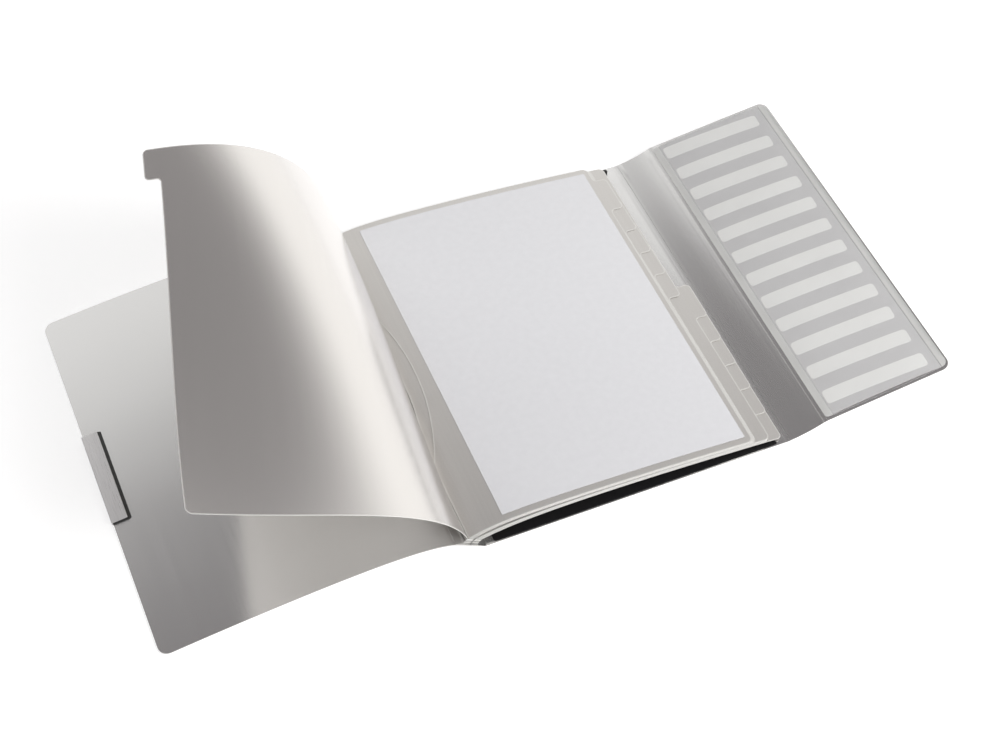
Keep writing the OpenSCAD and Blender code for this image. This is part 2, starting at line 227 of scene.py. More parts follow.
def flatMillimetres(tree):
    # place on the sheet before it was bent
    flat = addNode(tree, "ShaderNodeUVMap", uv_map="flatSheet")
    return addNode(tree, "ShaderNodeVectorMath", {0: flat, 1: (1 / mm, 1 / mm, 1 / mm)}, operation="MULTIPLY")


streakGloss = 0.006  # how far the streaks change the roughness
flakeShare = 0.6  # of the speckle; the rest is streaks
cutEdgeMetal = 0.1


def pearlSheet(tree, spec):
    # polypropylene extruded with aluminium flake and calendered smooth: satin silver that mirrors
    # large soft shapes, faint streaks along the roll, a paler translucent cut edge that carries a painted
    # highlight
    perMm = flatMillimetres(tree)
    streakScale = addNode(tree, "ShaderNodeVectorMath",
                          {0: perMm, 1: (1 / spec["streakWidth"], 1 / spec["streakLength"], 1)},
                          operation="MULTIPLY")
    streak = addNode(tree, "ShaderNodeTexNoise", {"Vector": streakScale, "Scale": 1.0, "Detail": 3.0})
    # the flakes are far finer than a pixel, so they are drawn as coarse as flakeSize
    flake = addNode(tree, "ShaderNodeTexNoise",
                    {"Vector": perMm, "Scale": 1 / spec["flakeSize"], "Detail": 1.0})
    speckle = addNode(tree, "ShaderNodeMix", {0: flakeShare, 2: streak, 3: flake}, data_type="FLOAT")
    shade = addNode(tree, "ShaderNodeValToRGB", {"Fac": speckle},
                    stops={noiseLow: spec["darkFlake"], noiseHigh: spec["paleFlake"]})
    gloss = addNode(tree, "ShaderNodeMapRange",
                    {"Value": streak, "From Min": noiseLow, "From Max": noiseHigh,
                     "To Min": spec["roughness"] - streakGloss, "To Max": spec["roughness"] + streakGloss})
    face, faceGloss, faceMetal = shade, gloss, spec["metallic"]
    if "mattRoughness" in spec:
        # the embossed face: the flakes lie under a fine grain, so it is pale and even
        matt = addNode(tree, "ShaderNodeAttribute", attribute_name="matt").outputs["Fac"]
        mattShade = addNode(tree, "ShaderNodeValToRGB", {"Fac": speckle},
                            stops={noiseLow: spec["mattDark"], noiseHigh: spec["mattPale"]})
        face = addNode(tree, "ShaderNodeMix", {0: matt, 6: face, 7: mattShade}, data_type="RGBA").outputs[2]
        faceGloss = addNode(tree, "ShaderNodeMapRange",
                            {"Value": matt, "To Min": faceGloss, "To Max": spec["mattRoughness"]})
        faceMetal = addNode(tree, "ShaderNodeMapRange",
                            {"Value": matt, "To Min": faceMetal, "To Max": spec["mattMetallic"]})
    # painted highlight: the cut edge, and the lip just inside it, are drawn paler and less metallic for the
    # light that catches them
    rim = addNode(tree, "ShaderNodeAttribute", attribute_name="rim").outputs["Fac"]
    colour = addNode(tree, "ShaderNodeMix", {0: rim, 6: face, 7: linear(spec["paleEdgeAndHighlight"])},
                     data_type="RGBA").outputs[2]
    metal = addNode(tree, "ShaderNodeMapRange", {"Value": rim, "To Min": faceMetal, "To Max": cutEdgeMetal})
    swell = addNode(tree, "ShaderNodeTexNoise",
                    {"Vector": perMm, "Scale": 1 / spec["swellLength"], "Detail": 0.0})
    wave = addNode(tree, "ShaderNodeBump",
                   {"Height": swell, "Strength": 1.0, "Distance": spec["swellDepth"] * mm})
    grain = addNode(tree, "ShaderNodeBump",
                    {"Height": flake, "Strength": 1.0, "Distance": spec["grainDepth"] * mm, "Normal": wave})
    return addNode(tree, "ShaderNodeBsdfPrincipled",
                   {"Base Color": colour, "Metallic": metal, "Roughness": faceGloss,
                    "IOR": 1.49, "Coat Weight": spec["coat"], "Coat Roughness": 0.12, "Normal": grain})


# the pale edge colour in each finish is partly the cut edge's own and partly a painted highlight
coverPearl = newMaterial("pearl silver polypropylene, calendered cover sheet", pearlSheet, {
    "darkFlake": "#e8e7e6", "paleFlake": "#ecebea", "paleEdgeAndHighlight": "#f2f1ed",
    "metallic": 0.88, "roughness": 0.19, "coat": 0.0,
    "streakWidth": 2.5, "streakLength": 160, "flakeSize": 0.9,  # mm
    "swellLength": 60, "swellDepth": 0.06, "grainDepth": 0.002,  # mm
})
dividerPearl = newMaterial("pearl silver polypropylene, calendered divider sheet", pearlSheet, {
    "darkFlake": "#ebe8e5", "paleFlake": "#efece9", "paleEdgeAndHighlight": "#f6f5f1",
    "metallic": 0.86, "roughness": 0.24, "coat": 0.0,
    "mattDark": "#dedbd7", "mattPale": "#e6e3df", "mattMetallic": 0.7, "mattRoughness": 0.31,
    "streakWidth": 2.0, "streakLength": 140, "flakeSize": 0.8,
    "swellLength": 50, "swellDepth": 0.05, "grainDepth": 0.0015,
})
bindingPearl = newMaterial("pearl silver polypropylene, extruded binding strip", pearlSheet, {
    "darkFlake": "#d0cfcb", "paleFlake": "#dad9d5", "paleEdgeAndHighlight": "#f2f1ed",
    "metallic": 0.35, "roughness": 0.34, "coat": 0.1,
    "streakWidth": 1.2, "streakLength": 90, "flakeSize": 0.6,
    "swellLength": 20, "swellDepth": 0.03, "grainDepth": 0.003,
})


def embossedLiner(tree, spec):
    # black polypropylene sheet embossed with a fine leather grain: dark, low satin sheen
    coords = addNode(tree, "ShaderNodeTexCoord")
    cells = addNode(tree, "ShaderNodeTexVoronoi",
                    {"Vector": coords.outputs["Object"], "Scale": 1 / (spec["grain"] * mm)},
                    feature="DISTANCE_TO_EDGE").outputs["Distance"]
    tone = addNode(tree, "ShaderNodeValToRGB", {"Fac": cells},
                   stops={0.0: spec["dark"], 0.35: spec["pale"]})
    bump = addNode(tree, "ShaderNodeBump",
                   {"Height": cells, "Strength": 0.6, "Distance": spec["grainDepth"] * mm})
    return addNode(tree, "ShaderNodeBsdfPrincipled",
                   {"Base Color": tone, "Roughness": spec["roughness"], "IOR": 1.49, "Normal": bump})


linerBlack = newMaterial("black polypropylene, grain embossed", embossedLiner, {
    "grain": 1.1, "grainDepth": 0.05,  # mm
    "dark": "#0f0e10", "pale": "#19181a", "roughness": 0.46})


def brushedMetal(tree, spec):
    # anodised aluminium strip brushed along its length: fine lines, highlight drawn out across them
    coords = addNode(tree, "ShaderNodeTexCoord")
    across, along = (1 / (size * mm) for size in spec["line"])
    lines = addNode(tree, "ShaderNodeMapping",
                    {"Vector": coords.outputs["Object"], "Scale": (across, along, across)})
    brush = addNode(tree, "ShaderNodeTexNoise", {"Vector": lines, "Scale": 1.0, "Detail": 4.0})
    tone = addNode(tree, "ShaderNodeValToRGB", {"Fac": brush},
                   stops={noiseLow: spec["dark"], noiseHigh: spec["pale"]})
    low, high = spec["roughness"]
    gloss = addNode(tree, "ShaderNodeMapRange",
                    {"Value": brush, "From Min": noiseLow, "From Max": noiseHigh,
                     "To Min": low, "To Max": high})
    bump = addNode(tree, "ShaderNodeBump", {"Height": brush, "Strength": 0.5, "Distance": spec["depth"] * mm})
    return addNode(tree, "ShaderNodeBsdfPrincipled",
                   {"Base Color": tone, "Metallic": 1.0, "Roughness": gloss,
                    "Anisotropic": 0.5, "Normal": bump})


claspMetal = newMaterial("anodised aluminium, brushed along its length", brushedMetal, {
    "line": (0.22, 14), "depth": 0.02,  # mm
    "dark": "#d9d7d7", "pale": "#eeecec", "roughness": (0.26, 0.40)})


def shadeBlackMoulding(tree, spec):
    # ABS moulding with a spark-eroded texture: near black, soft highlight; the near black is painted shade,
    # standing for the shade along the plate's inner edge and at its ends
    coords = addNode(tree, "ShaderNodeTexCoord")
    pits = addNode(tree, "ShaderNodeTexNoise",
                   {"Vector": coords.outputs["Object"], "Scale": 1 / (spec["pit"] * mm), "Detail": 2.0})
    tone = addNode(tree, "ShaderNodeValToRGB", {"Fac": pits},
                   stops={noiseLow: spec["dark"], noiseHigh: spec["pale"]})
    bump = addNode(tree, "ShaderNodeBump", {"Height": pits, "Strength": 0.5, "Distance": spec["depth"] * mm})
    return addNode(tree, "ShaderNodeBsdfPrincipled",
                   {"Base Color": tone, "Roughness": spec["roughness"], "IOR": 1.53, "Normal": bump})


claspShadeBlack = newMaterial("black ABS bed, near black as painted shade", shadeBlackMoulding, {
    "pit": 0.4, "depth": 0.02,  # mm
    "dark": "#141313", "pale": "#1f1d1d", "roughness": 0.38})


def castFilm(tree, spec):
    # clear cast polypropylene film: see-through with a glossy skin, milky where it is welded, and drawn milky
    # at its cut edge as a painted glint
    rim = addNode(tree, "ShaderNodeAttribute", attribute_name="rim").outputs["Fac"]
    perMm = flatMillimetres(tree)
    ripple = addNode(tree, "ShaderNodeTexNoise",
                     {"Vector": perMm, "Scale": 1 / spec["ripple"], "Detail": 1.0})
    across = addNode(tree, "ShaderNodeSeparateXYZ", {0: perMm}).outputs["X"]
    away = addNode(tree, "ShaderNodeMath", {0: across, 1: spec["middle"]}, operation="SUBTRACT")
    away = addNode(tree, "ShaderNodeMath", {0: away}, operation="ABSOLUTE")
    weld = addNode(tree, "ShaderNodeMapRange",
                   {"Value": away, "From Min": spec["clear"], "From Max": spec["milky"]},
                   interpolation_type="SMOOTHSTEP")
    # the weld's milkiness is the film's own; at the cut edge it is a painted highlight
    milkAndGlint = addNode(tree, "ShaderNodeMath", {0: weld, 1: rim}, operation="MAXIMUM")
    low, high = spec["haze"]
    haze = addNode(tree, "ShaderNodeMapRange", {"Value": milkAndGlint, "To Min": low, "To Max": high})
    bump = addNode(tree, "ShaderNodeBump",
                   {"Height": ripple, "Strength": 1.0, "Distance": spec["rippleDepth"] * mm})
    tone = addNode(tree, "ShaderNodeValToRGB", {"Fac": ripple},
                   stops={noiseLow: spec["dark"], noiseHigh: spec["pale"]})
    return addNode(tree, "ShaderNodeBsdfPrincipled",
                   {"Base Color": tone, "Roughness": spec["roughness"], "IOR": 1.49, "Alpha": haze,
                    "Normal": bump})


clearFilm = newMaterial("clear polypropylene film, cast", castFilm, {
    "middle": 57.5, "clear": 49, "milky": 50.5,  # mm: its middle, and how far out it is clear, then milky
    "ripple": 38, "rippleDepth": 0.06,  # mm
    "haze": (0.10, 0.62), "dark": "#eeeeec", "pale": "#f6f6f4", "roughness": 0.10})


fibreDepth = 0.01  # mm
fibreShare = 0.4  # of the tone; the rest is clouds


def paperStock(tree, spec):
    # pulp stock, coated and smoothed: faint clouds, short fibres, and a sheen that follows the coating
    perMm = flatMillimetres(tree)
    cloud = addNode(tree, "ShaderNodeTexNoise",
                    {"Vector": perMm, "Scale": 1 / spec["cloudSize"], "Detail": 3.0})
    fibre = addNode(tree, "ShaderNodeTexNoise",
                    {"Vector": perMm, "Scale": 1 / spec["fibreSize"], "Detail": 2.0, "Distortion": 1.5})
    mix = addNode(tree, "ShaderNodeMix", {0: fibreShare, 2: cloud, 3: fibre}, data_type="FLOAT")
    tone = addNode(tree, "ShaderNodeValToRGB", {"Fac": mix},
                   stops={noiseLow: spec["dark"], noiseHigh: spec["pale"]})
    bump = addNode(tree, "ShaderNodeBump", {"Height": fibre, "Strength": 0.6, "Distance": fibreDepth * mm})
    return addNode(tree, "ShaderNodeBsdfPrincipled",
                   {"Base Color": tone, "Roughness": spec["roughness"], "IOR": 1.5,
                    "Specular IOR Level": spec["specular"], "Coat Weight": spec["coat"],
                    "Coat Roughness": 0.16, "Normal": bump})


cardGrey = newMaterial("grey index card, coated board", paperStock, {
    "dark": "#d1d0d1", "pale": "#d7d6d7", "roughness": 0.42, "specular": 0.5, "coat": 0.0,
    "cloudSize": 9, "fibreSize": 0.7})  # mm
labelWhite = newMaterial("white title field, coated paper", paperStock, {
    "dark": "#f7f7f5", "pale": "#fbfbf9", "roughness": 0.42, "specular": 0.5, "coat": 0.0,
    "cloudSize": 9, "fibreSize": 0.7})
glossPaper = newMaterial("white paper, coated and calendered to a gloss", paperStock, {
    "dark": "#efeff2", "pale": "#f4f4f7", "roughness": 0.24, "specular": 1.0, "coat": 1.0,
    "cloudSize": 6, "fibreSize": 0.6})
print("materials made")


# sheet building: a flat outline is meshed, given thickness and a broken edge, then bent into place

def roundedOutline(corners, arcStep=12):
    # corners (u, v, radius), anticlockwise; arcStep in degrees
    points = []
    for i, (u, v, r) in enumerate(corners):
        here = Vector((u, v))
        if r <= 0:
            points.append(here)
            continue
        before = (Vector(corners[i - 1][:2]) - here).normalized()
        after = (Vector(corners[(i + 1) % len(corners)][:2]) - here).normalized()
        half = before.angle(after) / 2
        centre = here + (before + after).normalized() * (r / math.sin(half))
        a = here + before * (r / math.tan(half)) - centre
        b = here + after * (r / math.tan(half)) - centre
        turn = math.atan2(a.x * b.y - a.y * b.x, a.dot(b))
        steps = max(2, round(abs(math.degrees(turn)) / arcStep))
        points += [centre + Matrix.Rotation(turn * k / steps, 2) @ a for k in range(steps + 1)]
    return points


def panelOutline(a, b, half, near, far):
    # a rectangle from a to b, with the radii of its near and far corners
    return roundedOutline([(a, -half, near), (b, -half, far), (b, half, far), (a, half, near)])


def spaced(run, steps, power=1.0):
    # from 0 to run, crowded at the start where power is over 1
    return [run * (k / steps) ** power for k in range(steps + 1)]


def evenRows(half, count):
    # between -half and half, without the two ends
    return [half * k / count for k in range(1 - count, count)]


# limits of the sheet mesh in mm, and shares of the lip; the last is how pale the lip's painted highlight is
sheetGrid = {"clear": 0.45, "closest": 0.25, "shortest": 0.3, "merge": 1e-5,
             "lipClear": 1.5, "lipKeep": 0.8, "lipHighlight": 0.8}


def dividedOutline(points, columns, rows):
    # cuts the outline where the columns and rows of the grid cross it
    cut = []
    for a, b in zip(points, points[1:] + points[:1]):
        shares = []
        if abs(b.x - a.x) > 1e-6:
            shares += [(c - a.x) / (b.x - a.x) for c in columns]
        if abs(b.y - a.y) > 1e-6:
            shares += [(r - a.y) / (b.y - a.y) for r in rows]
        gap = sheetGrid["closest"] / max((b - a).length, sheetGrid["shortest"])
        last = 0.0
        cut.append(a)
        for share in sorted(shares):
            if share > last + gap and share < 1 - gap:
                cut.append(a.lerp(b, share))
                last = share
    return cut


def insidePoints(outline, grid, clear):
    # those points that lie inside the outline, not too near to it
    grid = np.array(grid, float)
    a = np.array([tuple(p) for p in outline])
    b = np.roll(a, -1, axis=0)
    x, y = grid[:, :1], grid[:, 1:]
    crossing = (a[:, 1] > y) != (b[:, 1] > y)
    slope = np.where(b[:, 1] == a[:, 1], 1e-9, b[:, 1] - a[:, 1])
    inside = (crossing & (x < (b[:, 0] - a[:, 0]) * (y - a[:, 1]) / slope + a[:, 0])).sum(axis=1) % 2 == 1
    step = b - a
    share = ((x - a[:, 0]) * step[:, 0] + (y - a[:, 1]) * step[:, 1]) / (step ** 2).sum(axis=1)
    share = np.clip(share, 0, 1)
    away = np.hypot(x - a[:, 0] - share * step[:, 0], y - a[:, 1] - share * step[:, 1]).min(axis=1)
    return [Vector(p) for p in grid[inside & (away > clear)]]


def inwardOf(line):
    # unit vectors to the left of a closed line, which is inwards when it runs anticlockwise
    along = np.roll(line, -1, axis=0) - np.roll(line, 1, axis=0)
    along /= np.linalg.norm(along, axis=1, keepdims=True)
    return np.column_stack((-along[:, 1], along[:, 0]))


def dressMesh(mesh, pale, flat):
    # smooth faces, how far each point is a pale cut edge with a painted highlight, and its place on the flat
    # sheet
    mesh.polygons.foreach_set("use_smooth", [True] * len(mesh.polygons))
    rim = mesh.attributes.new("rim", "FLOAT", "POINT")
    rim.data.foreach_set("value", pale)
    layer = mesh.uv_layers.new(name="flatSheet")
    corner = np.zeros(len(mesh.loops), int)
    mesh.loops.foreach_get("vertex_index", corner)
    layer.data.foreach_set("uv", (flat[corner] * mm).ravel())


def sheetMesh(name, outline, columns, rows, thickness, bevel, place=None, relief=None, lip=0.0, mattSide=0):
    # all in mm; place(u, v, w) gives the bent sheet, relief(u) what its faces sink by, lip how far
    # the pale cut edge and its painted highlight reach into the faces, mattSide 1 or -1 an embossed upper or
    # lower face
    outline = dividedOutline(outline, columns, rows)
    clear = max(sheetGrid["clear"], sheetGrid["lipClear"] * lip)
    points = outline + insidePoints(outline, [(u, v) for u in columns for v in rows], clear)
    ring = list(range(len(outline)))
    borders = [ring]
    if lip:
        line = np.array([tuple(p) for p in outline])
        inner = insidePoints(outline, line + lip * inwardOf(line), sheetGrid["lipKeep"] * lip)
        borders.append(list(range(len(points), len(points) + len(inner))))
        points += inner
    fixed = [pair for border in borders for pair in zip(border, border[1:] + border[:1])]
    result = delaunay_2d_cdt(points, fixed, [ring], 1, sheetGrid["merge"])
    flat = np.array([tuple(p) for p in result[0]])
    tris = np.array(result[2])
    a, b, c = (flat[tris[:, k]] for k in range(3))
    area = (b[:, 0] - a[:, 0]) * (c[:, 1] - a[:, 1]) - (b[:, 1] - a[:, 1]) * (c[:, 0] - a[:, 0])
    tris[area < 0] = tris[area < 0][:, ::-1]
    edges = {(int(t[k]), int(t[(k + 1) % 3])) for t in tris for k in range(3)}
    follow = {i: j for i, j in edges if (j, i) not in edges}
    start = next(iter(follow))
    loop = [start]
    while follow[loop[-1]] != start:
        loop.append(follow[loop[-1]])
    edge = flat[loop]
    face = flat.copy()
    face[loop] += inwardOf(edge) * bevel
    sink = relief(face[:, 0]) if relief else np.zeros(len(face))
    half = np.full(len(face), thickness / 2) - sink
    side = np.full(len(edge), thickness / 2 - bevel)
    count, border = len(flat), len(loop)
    uvw = np.vstack((np.column_stack((face, half)), np.column_stack((face, -half)),
                     np.column_stack((edge, side)), np.column_stack((edge, -side))))
    top, low = np.array(loop), np.array(loop) + count
    high, deep = np.arange(border) + 2 * count, np.arange(border) + 2 * count + border
    faces = tris.tolist() + (tris[:, ::-1] + count).tolist()
    for under, over in ((high, top), (deep, high), (low, deep)):
        faces += np.column_stack((under, np.roll(under, -1), np.roll(over, -1), over)).tolist()
    spot = place(*uvw.T) if place else uvw
    mesh = bpy.data.meshes.new(name)
    mesh.from_pydata((np.asarray(spot) * mm).tolist(), [], faces)
    sharp = {tuple(sorted(pair)) for line in (top, low)
             for pair in zip(line.tolist(), np.roll(line, -1).tolist())}
    mark = mesh.attributes.new("sharp_edge", "BOOLEAN", "EDGE")
    mark.data.foreach_set("value", [tuple(sorted(e.vertices)) in sharp for e in mesh.edges])
    number = np.arange(len(uvw))
    if mattSide:
        matt = mesh.attributes.new("matt", "FLOAT", "POINT")
        facing = np.where(number < count, 1, -1) * (number < 2 * count)
        matt.data.foreach_set("value", (facing == mattSide).astype(float))
    # painted highlight: the side walls are marked fully pale, the ring of the lip nearly so
    pale = (number >= 2 * count).astype(float)
    if lip:
        pale[top] = pale[low] = sheetGrid["lipHighlight"]
    dressMesh(mesh, pale, uvw[:, :2])
    return mesh


def newPiece(name, mesh, material, body, nodes):
    if material:  # None where a tree has set it
        mesh.materials.append(material)
    piece = bpy.data.objects.new(name, mesh)
    scene.collection.objects.link(piece)
    if body:
        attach(piece, body)
    if nodes:
        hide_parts(*nodes)
    return piece


# the book's shared sizes, in mm

book = {"height": 316, "backWidth": 264, "spineWidth": 32, "frontWidth": 225, "sheet": 0.8,
        "spineTilt": 34, "corner": 8, "creaseCorner": 1, "creaseHalf": 1.5, "bevel": 0.2}
spineX = -book["backWidth"] / 2
midZ = book["sheet"] / 2
halfH = book["height"] / 2
tilt = math.radians(book["spineTilt"])
spineDir = np.array((-math.cos(tilt), math.sin(tilt)))
spineNormal = np.array((math.sin(tilt), math.cos(tilt)))
backCrease = np.array((spineX, midZ))
frontCrease = backCrease + book["spineWidth"] * spineDir


def slopeDir(degrees):
    # unit direction in X-Z
    return np.array((math.cos(math.radians(degrees)), math.sin(math.radians(degrees))))


def leaningSpot(origin, along, up=None):
    # lays u and w along two directions in X-Z, and v along the page
    up = (-along[1], along[0]) if up is None else up

    def place(u, v, w):
        return np.column_stack((origin[0] + u * along[0] + w * up[0], v,
                                origin[1] + u * along[1] + w * up[1]))
    return place


spineSpot = leaningSpot(backCrease, spineDir, spineNormal)


# a sheet that springs up from its bound edge, as a Geometry Nodes tree

sprungEase = 1.3  # how late the sprung line comes down to its fore-edge
lineInputs = ["Bound Z", "Fore Z", "Run", "Rise", "Spring", "Ease"]
sprungInputs = lineInputs + ["Bound X", "Direction", "Lift"]


def newTree(name, inputs, output):
    # inputs and output give each socket's label and kind
    tree = bpy.data.node_groups.new(name, "GeometryNodeTree")
    for way, sockets in (("INPUT", inputs), ("OUTPUT", output)):
        for label, kind in sockets.items():
            tree.interface.new_socket(label, in_out=way, socket_type="NodeSocket" + kind)
    return tree, addNode(tree, "NodeGroupInput").outputs


def makeHeightGroup():
    # height of the sprung line at a distance from the bound edge
    tree, given = newTree("sprungHeight", dict.fromkeys(["Distance"] + lineInputs, "Float"),
                          {"Height": "Float"})
    away = addNode(tree, "ShaderNodeMath", {0: given["Distance"], 1: 0.0}, operation="MAXIMUM")
    share = addNode(tree, "ShaderNodeMath", {0: away, 1: given["Run"]}, operation="DIVIDE")
    chord = addNode(tree, "ShaderNodeMapRange",
                    {"Value": share, "To Min": given["Bound Z"], "To Max": given["Fore Z"]}, clamp=False)
    decay = addNode(tree, "ShaderNodeMath", {0: away, 1: given["Spring"]}, operation="DIVIDE")
    decay = addNode(tree, "ShaderNodeMath", {0: decay, 1: -1.0}, operation="MULTIPLY")
    decay = addNode(tree, "ShaderNodeMath", {0: decay}, operation="EXPONENT")
    lift = addNode(tree, "ShaderNodeMath", {0: 1.0, 1: decay}, operation="SUBTRACT")
    fall = addNode(tree, "ShaderNodeMath", {0: share, 1: given["Ease"]}, operation="POWER")
    fall = addNode(tree, "ShaderNodeMath", {0: fall, 1: math.pi / 2}, operation="MULTIPLY")
    fall = addNode(tree, "ShaderNodeMath", {0: fall}, operation="COSINE")
    swell = addNode(tree, "ShaderNodeMath", {0: lift, 1: fall}, operation="MULTIPLY")
    total = addNode(tree, "ShaderNodeMath", {0: swell, 1: given["Rise"], 2: chord}, operation="MULTIPLY_ADD")
    addNode(tree, "NodeGroupOutput", {"Height": total})
    return tree


def makeSprungTree():
    heightGroup = makeHeightGroup()
    tree, given = newTree("sprungSheet", {"Geometry": "Geometry", **dict.fromkeys(sprungInputs, "Float"),
                                          "Finish": "Material"},
                          {"Geometry": "Geometry"})
    flat = addNode(tree, "ShaderNodeSeparateXYZ", {0: addNode(tree, "GeometryNodeInputPosition")})
    line = {label: given[label] for label in lineInputs}
    step = 0.2 * mm  # the slope is taken over twice this
    heights = []
    for shift in (-step, 0.0, step):
        at = addNode(tree, "ShaderNodeMath", {0: flat.outputs["X"], 1: shift}, operation="ADD")
        heights.append(addNode(tree, "GeometryNodeGroup", {"Distance": at, **line}, node_tree=heightGroup))
    climb = addNode(tree, "ShaderNodeMath", {0: heights[2], 1: heights[0]}, operation="SUBTRACT")
    slope = addNode(tree, "ShaderNodeMath", {0: climb, 1: 2 * step}, operation="DIVIDE")
    square = addNode(tree, "ShaderNodeMath", {0: slope, 1: slope, 2: 1.0}, operation="MULTIPLY_ADD")
    length = addNode(tree, "ShaderNodeMath", {0: square}, operation="SQRT")
    off = addNode(tree, "ShaderNodeMath", {0: flat.outputs["Z"], 1: given["Lift"]}, operation="ADD")
    off = addNode(tree, "ShaderNodeMath", {0: off, 1: length}, operation="DIVIDE")
    z = addNode(tree, "ShaderNodeMath", {0: heights[1], 1: off}, operation="ADD")
    lean = addNode(tree, "ShaderNodeMath", {0: slope, 1: off}, operation="MULTIPLY")
    x = addNode(tree, "ShaderNodeMath", {0: flat.outputs["X"], 1: lean}, operation="SUBTRACT")
    x = addNode(tree, "ShaderNodeMath", {0: x, 1: given["Direction"], 2: given["Bound X"]},
                operation="MULTIPLY_ADD")
    spot = addNode(tree, "ShaderNodeCombineXYZ", {"X": x, "Y": flat.outputs["Y"], "Z": z})
    bent = addNode(tree, "GeometryNodeSetPosition", {"Geometry": given["Geometry"], "Position": spot})
    whole = addNode(tree, "GeometryNodeRealizeInstances", {0: bent})
    finish = addNode(tree, "GeometryNodeSetMaterial", {"Geometry": whole, "Material": given["Finish"]})
    addNode(tree, "NodeGroupOutput", {"Geometry": finish})
    return tree


sprungTree = makeSprungTree()


def grownMesh(name, mesh, tree, values):
    # runs a tree on a mesh and gives back the plain result
    worker = bpy.data.objects.new(name, mesh)
    scene.collection.objects.link(worker)
    modifier = worker.modifiers.new(tree.name, "NODES")
    modifier.node_group = tree
    for item in tree.interface.items_tree:
        if item.in_out == "INPUT" and item.name in values:
            modifier[item.identifier] = values[item.name]
    graph = bpy.context.evaluated_depsgraph_get()
    grown = bpy.data.meshes.new_from_object(worker.evaluated_get(graph), preserve_all_data_layers=True,
                                            depsgraph=graph)
    grown.name = name
    bpy.data.objects.remove(worker)
    return grown


def sprungMesh(name, mesh, shape, finish, direction=1.0, lift=0.0):
    # shape in mm: bound edge x and z, fore-edge z, run, rise, spring
    values = {"Bound X": shape["x"] * mm, "Bound Z": shape["z"] * mm, "Fore Z": shape["foreZ"] * mm,
              "Run": shape["run"] * mm, "Rise": shape["rise"] * mm, "Spring": shape["spring"] * mm,
              "Ease": sprungEase, "Direction": direction, "Lift": lift * mm, "Finish": finish}
    grown = grownMesh(name, mesh, sprungTree, values)
    if direction < 0:
        grown.flip_normals()
    return grown


# covers

coverPress = {"inset": 2.4, "depth": 0.12, "width": 0.9}  # mm
flapPress = {"inset": 2.4, "depth": 0.10, "width": 0.8}
pressColumns = (0, 1.2, 2.4, 3.6)  # mm from an edge, so that the pressed line has points


def creaseRelief(press, near, far=None):
    # lines pressed in beside the creases at a panel's near and far edge
    places = [near + press["inset"]] + ([far - press["inset"]] if far else [])

    def relief(u):
        return sum(press["depth"] * np.exp(-((u - place) / press["width"]) ** 2) for place in places)
    return relief


def makeBackCover():
    a, b = book["creaseHalf"], book["backWidth"] - book["creaseHalf"]
    columns = [a + s for s in pressColumns] + spaced(b, 12)[1:-1] + [b - s for s in pressColumns[::-1]]
    mesh = sheetMesh("backCover", panelOutline(a, b, halfH, book["creaseCorner"], book["creaseCorner"]),
                     columns, evenRows(halfH, 8), book["sheet"], book["bevel"],
                     place=lambda u, v, w: np.column_stack((spineX + u, v, midZ + w)),
                     relief=creaseRelief(coverPress, a, b))
    newPiece("backCover", mesh, coverPearl, "back", ["back_cover"])


def makeSpine():
    a, b = book["creaseHalf"], book["spineWidth"] - book["creaseHalf"]
    mesh = sheetMesh("spinePanel", panelOutline(a, b, halfH, book["creaseCorner"], book["creaseCorner"]),
                     spaced(b, 14), evenRows(halfH, 10), book["sheet"], book["bevel"],
                     place=spineSpot, relief=creaseRelief(coverPress, a, b))
    mesh.flip_normals()
    newPiece("spinePanel", mesh, coverPearl, "spine", ["spine_panel"])


frontShape = {"arch": 12, "spring": 25, "foreZ": 1.445, "columns": 44, "crowding": 1.35}


def makeFrontCover():
    a, b = book["creaseHalf"], book["frontWidth"]
    flat = sheetMesh("frontCoverFlat", panelOutline(a, b, halfH, book["creaseCorner"], book["corner"]),
                     spaced(b, frontShape["columns"], frontShape["crowding"]), evenRows(halfH, 14),
                     book["sheet"], book["bevel"], relief=creaseRelief(coverPress, a))
    shape = {"x": frontCrease[0], "z": frontCrease[1], "foreZ": frontShape["foreZ"], "run": b,
             "rise": frontShape["arch"], "spring": frontShape["spring"]}
    mesh = sprungMesh("frontCover", flat, shape, coverPearl, direction=-1.0)
    newPiece("frontCover", mesh, None, "front", ["front_cover"])


edgeStrip = {"width": 34.5, "lift": 8, "bend": 24}  # mm, degrees at its crease, degrees round its curve
flap = {"width": 115, "tilt": 10, "corner": 8}
stripRadius = edgeStrip["width"] / math.radians(edgeStrip["bend"])


def stripSpot(u, w):
    # u runs round the strip's curve, w off its middle
    lift = math.radians(edgeStrip["lift"])
    slope = lift + np.asarray(u) / stripRadius
    x = book["backWidth"] + stripRadius * (np.sin(slope) - math.sin(lift)) - w * np.sin(slope)
    z = midZ + stripRadius * (math.cos(lift) - np.cos(slope)) + w * np.cos(slope)
    return spineX + x, z


flapCrease = np.array(stripSpot(edgeStrip["width"], 0))
flapSpot = leaningSpot(flapCrease, slopeDir(flap["tilt"]))


def makeEdgeStrip():
    a, b = book["creaseHalf"], edgeStrip["width"] - book["creaseHalf"]

    def place(u, v, w):
        x, z = stripSpot(u, w)
        return np.column_stack((x, v, z))
    mesh = sheetMesh("edgeStrip", panelOutline(a, b, halfH, book["creaseCorner"], book["creaseCorner"]),
                     spaced(b, 26), evenRows(halfH, 12), book["sheet"], book["bevel"],
                     place=place, relief=creaseRelief(flapPress, a, b))
    newPiece("edgeStrip", mesh, coverPearl, "strip", ["edge_strip"])


